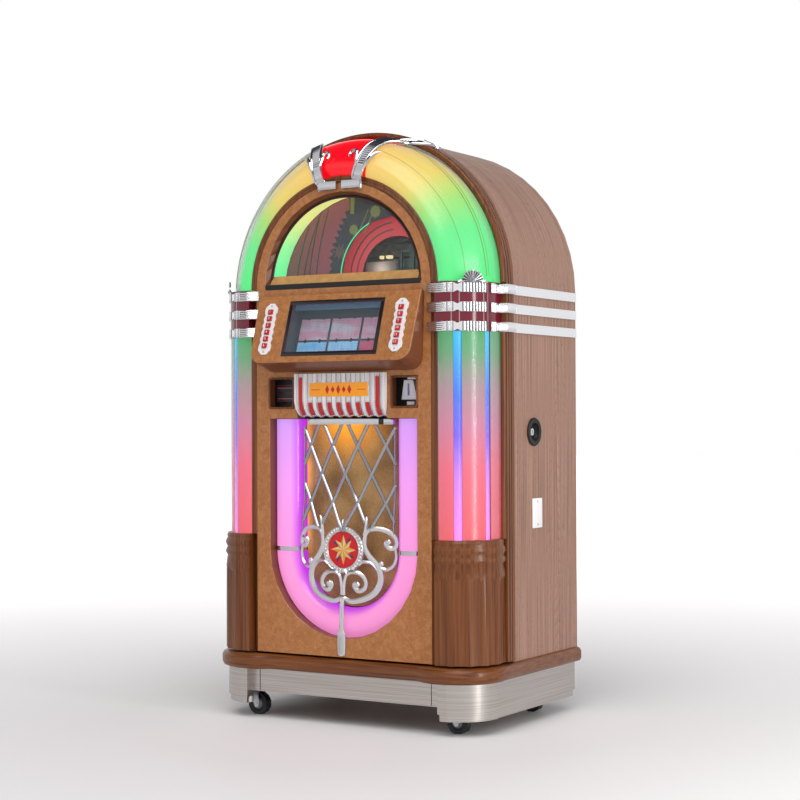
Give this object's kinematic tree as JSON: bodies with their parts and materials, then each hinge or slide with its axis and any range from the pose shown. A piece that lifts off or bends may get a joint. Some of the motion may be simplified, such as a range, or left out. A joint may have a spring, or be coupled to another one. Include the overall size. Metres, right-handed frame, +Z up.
{
  "type": "jukebox",
  "caption": "Arched-top jukebox on casters with lit plastics, selection keys, a grille door on a side hinge and a disc carousel with its transfer arm inside.",
  "frame": {"origin": "on the floor, below the middle of the whole jukebox's width and depth", "axes": "+Z up, +X to the viewer's right as one faces the front, -Y out of the front towards the viewer"},
  "size_m": [0.843, 0.6108, 1.541],
  "materials": {
    "burl": "burl veneer under clear gloss lacquer",
    "brown_paint": "wood stained brown, gloss lacquer",
    "oak_laminate": "satin oak-grain laminate",
    "chrome": "polished chrome on castings",
    "steel": "brushed",
    "plastic_green": "lit translucent plastic, green turning to yellow at the top",
    "plastic_red": "gloss",
    "plastic_rose": "lit translucent plastic, rose at the foot and green at the head",
    "lilac_glass": "lit translucent plastic, lilac turning to pink",
    "clear_glass": "clear",
    "cloth": "gold-bronze woven speaker cloth",
    "dark_metal": "satin black",
    "black_rubber": "matt",
    "teal_metal": "satin",
    "cream_plastic": "matt"
  },
  "bodies": {
    "cabinet": {"cabinet_shell": "oak_laminate", "base_board": "brown_paint", "back_panel": "dark_metal", "steel_plinth": "steel", "mechanism_frame": "teal_metal", "amplifier": "dark_metal", "lock_housing": "dark_metal", "cabinet_hinge_leaf": "steel"},
    "disc_carousel": {"disc_carousel": "steel"},
    "transfer_arm": {"transfer_arm": "steel"},
    "lock_barrel": {"lock_barrel": "chrome"},
    "caster_front_left": {"caster_fork_front_left": "steel"},
    "caster_front_right": {"caster_fork_front_right": "steel"},
    "caster_rear_left": {"caster_fork_rear_left": "steel"},
    "caster_rear_right": {"caster_fork_rear_right": "steel"},
    "wheel_front_left": {"caster_wheel_front_left": "black_rubber"},
    "wheel_front_right": {"caster_wheel_front_right": "black_rubber"},
    "wheel_rear_left": {"caster_wheel_rear_left": "black_rubber"},
    "wheel_rear_right": {"caster_wheel_rear_right": "black_rubber"},
    "door": {"door_panel": "burl", "door_frame": "brown_paint", "window_glass": "clear_glass", "window_backdrop": "teal_metal", "selector_housing": "brown_paint", "selector_glass": "clear_glass", "title_rack": "cream_plastic", "name_casting": "chrome", "coin_entry": "chrome", "note_acceptor": "dark_metal", "lamp_tube": "lilac_glass", "lattice": "chrome", "grille_cloth": "cloth", "speaker": "dark_metal", "crest_lens": "plastic_red", "door_hinge_leaf": "steel", "pilaster_base_left": "brown_paint", "pilaster_base_right": "brown_paint", "pilaster_lens_left": "plastic_rose", "pilaster_lens_right": "plastic_rose", "band_stack_left": "chrome", "band_stack_right": "chrome", "crest_casting_left": "chrome", "crest_casting_right": "chrome", "arch_lens_left": "plastic_green", "arch_lens_right": "plastic_green", "key_plate_left": "chrome", "key_plate_right": "chrome"},
    "key_left_1": {"key_left_1": "plastic_red"},
    "key_left_2": {"key_left_2": "plastic_red"},
    "key_left_3": {"key_left_3": "plastic_red"},
    "key_left_4": {"key_left_4": "plastic_red"},
    "key_left_5": {"key_left_5": "plastic_red"},
    "key_left_6": {"key_left_6": "plastic_red"},
    "key_right_1": {"key_right_1": "plastic_red"},
    "key_right_2": {"key_right_2": "plastic_red"},
    "key_right_3": {"key_right_3": "plastic_red"},
    "key_right_4": {"key_right_4": "plastic_red"},
    "key_right_5": {"key_right_5": "plastic_red"},
    "key_right_6": {"key_right_6": "plastic_red"},
    "reject_button": {"reject_button": "cream_plastic"}
  },
  "joints": [
    {"name": "door_hinge", "type": "hinge", "parent": "cabinet", "child": "door", "pos_m": [-0.416, -0.06439, 0.178], "axis": [0, 0, -1], "range_deg": [0, 100]},
    {"name": "carousel_turn", "type": "hinge", "parent": "cabinet", "child": "disc_carousel", "pos_m": [0, 0.10886, 0.985], "axis": [0, 0, 1], "continuous": true},
    {"name": "arm_swing", "type": "hinge", "parent": "cabinet", "child": "transfer_arm", "pos_m": [-0.176, 0.10886, 1.1335], "axis": [0, 0, -1], "range_deg": [0, 90]},
    {"name": "lock_turn", "type": "hinge", "parent": "cabinet", "child": "lock_barrel", "pos_m": [0.404, 0.05286, 0.754], "axis": [1, 0, 0], "range_deg": [0, 90]},
    {"name": "swivel_front_left", "type": "hinge", "parent": "cabinet", "child": "caster_front_left", "pos_m": [-0.325, -0.17114, 0.0945], "axis": [0, 0, 1], "continuous": true},
    {"name": "swivel_front_right", "type": "hinge", "parent": "cabinet", "child": "caster_front_right", "pos_m": [0.325, -0.17114, 0.0945], "axis": [0, 0, 1], "continuous": true},
    {"name": "swivel_rear_left", "type": "hinge", "parent": "cabinet", "child": "caster_rear_left", "pos_m": [-0.325, 0.22886, 0.0945], "axis": [0, 0, 1], "continuous": true},
    {"name": "swivel_rear_right", "type": "hinge", "parent": "cabinet", "child": "caster_rear_right", "pos_m": [0.325, 0.22886, 0.0945], "axis": [0, 0, 1], "continuous": true},
    {"name": "roll_front_left", "type": "hinge", "parent": "caster_front_left", "child": "wheel_front_left", "pos_m": [-0.307, -0.17114, 0.02898], "axis": [0, 1, 0], "continuous": true},
    {"name": "roll_front_right", "type": "hinge", "parent": "caster_front_right", "child": "wheel_front_right", "pos_m": [0.307, -0.17114, 0.02898], "axis": [0, 1, 0], "continuous": true},
    {"name": "roll_rear_left", "type": "hinge", "parent": "caster_rear_left", "child": "wheel_rear_left", "pos_m": [-0.307, 0.22886, 0.02898], "axis": [0, 1, 0], "continuous": true},
    {"name": "roll_rear_right", "type": "hinge", "parent": "caster_rear_right", "child": "wheel_rear_right", "pos_m": [0.307, 0.22886, 0.02898], "axis": [0, 1, 0], "continuous": true},
    {"name": "press_left_1", "type": "slide", "parent": "door", "child": "key_left_1", "axis": [0, 0.9494, -0.314], "range_m": [0, 0.0025], "stiffness_N_per_m": 200, "springref_m": -0.002},
    {"name": "press_left_2", "type": "slide", "parent": "door", "child": "key_left_2", "axis": [0, 0.9494, -0.314], "range_m": [0, 0.0025], "stiffness_N_per_m": 200, "springref_m": -0.002},
    {"name": "press_left_3", "type": "slide", "parent": "door", "child": "key_left_3", "axis": [0, 0.9494, -0.314], "range_m": [0, 0.0025], "stiffness_N_per_m": 200, "springref_m": -0.002},
    {"name": "press_left_4", "type": "slide", "parent": "door", "child": "key_left_4", "axis": [0, 0.9494, -0.314], "range_m": [0, 0.0025], "stiffness_N_per_m": 200, "springref_m": -0.002},
    {"name": "press_left_5", "type": "slide", "parent": "door", "child": "key_left_5", "axis": [0, 0.9494, -0.314], "range_m": [0, 0.0025], "stiffness_N_per_m": 200, "springref_m": -0.002},
    {"name": "press_left_6", "type": "slide", "parent": "door", "child": "key_left_6", "axis": [0, 0.9494, -0.314], "range_m": [0, 0.0025], "stiffness_N_per_m": 200, "springref_m": -0.002},
    {"name": "press_right_1", "type": "slide", "parent": "door", "child": "key_right_1", "axis": [0, 0.9494, -0.314], "range_m": [0, 0.0025], "stiffness_N_per_m": 200, "springref_m": -0.002},
    {"name": "press_right_2", "type": "slide", "parent": "door", "child": "key_right_2", "axis": [0, 0.9494, -0.314], "range_m": [0, 0.0025], "stiffness_N_per_m": 200, "springref_m": -0.002},
    {"name": "press_right_3", "type": "slide", "parent": "door", "child": "key_right_3", "axis": [0, 0.9494, -0.314], "range_m": [0, 0.0025], "stiffness_N_per_m": 200, "springref_m": -0.002},
    {"name": "press_right_4", "type": "slide", "parent": "door", "child": "key_right_4", "axis": [0, 0.9494, -0.314], "range_m": [0, 0.0025], "stiffness_N_per_m": 200, "springref_m": -0.002},
    {"name": "press_right_5", "type": "slide", "parent": "door", "child": "key_right_5", "axis": [0, 0.9494, -0.314], "range_m": [0, 0.0025], "stiffness_N_per_m": 200, "springref_m": -0.002},
    {"name": "press_right_6", "type": "slide", "parent": "door", "child": "key_right_6", "axis": [0, 0.9494, -0.314], "range_m": [0, 0.0025], "stiffness_N_per_m": 200, "springref_m": -0.002},
    {"name": "press_reject", "type": "slide", "parent": "door", "child": "reject_button", "axis": [0, 1, 0], "range_m": [0, 0.003], "stiffness_N_per_m": 200, "springref_m": -0.002}
  ]
}
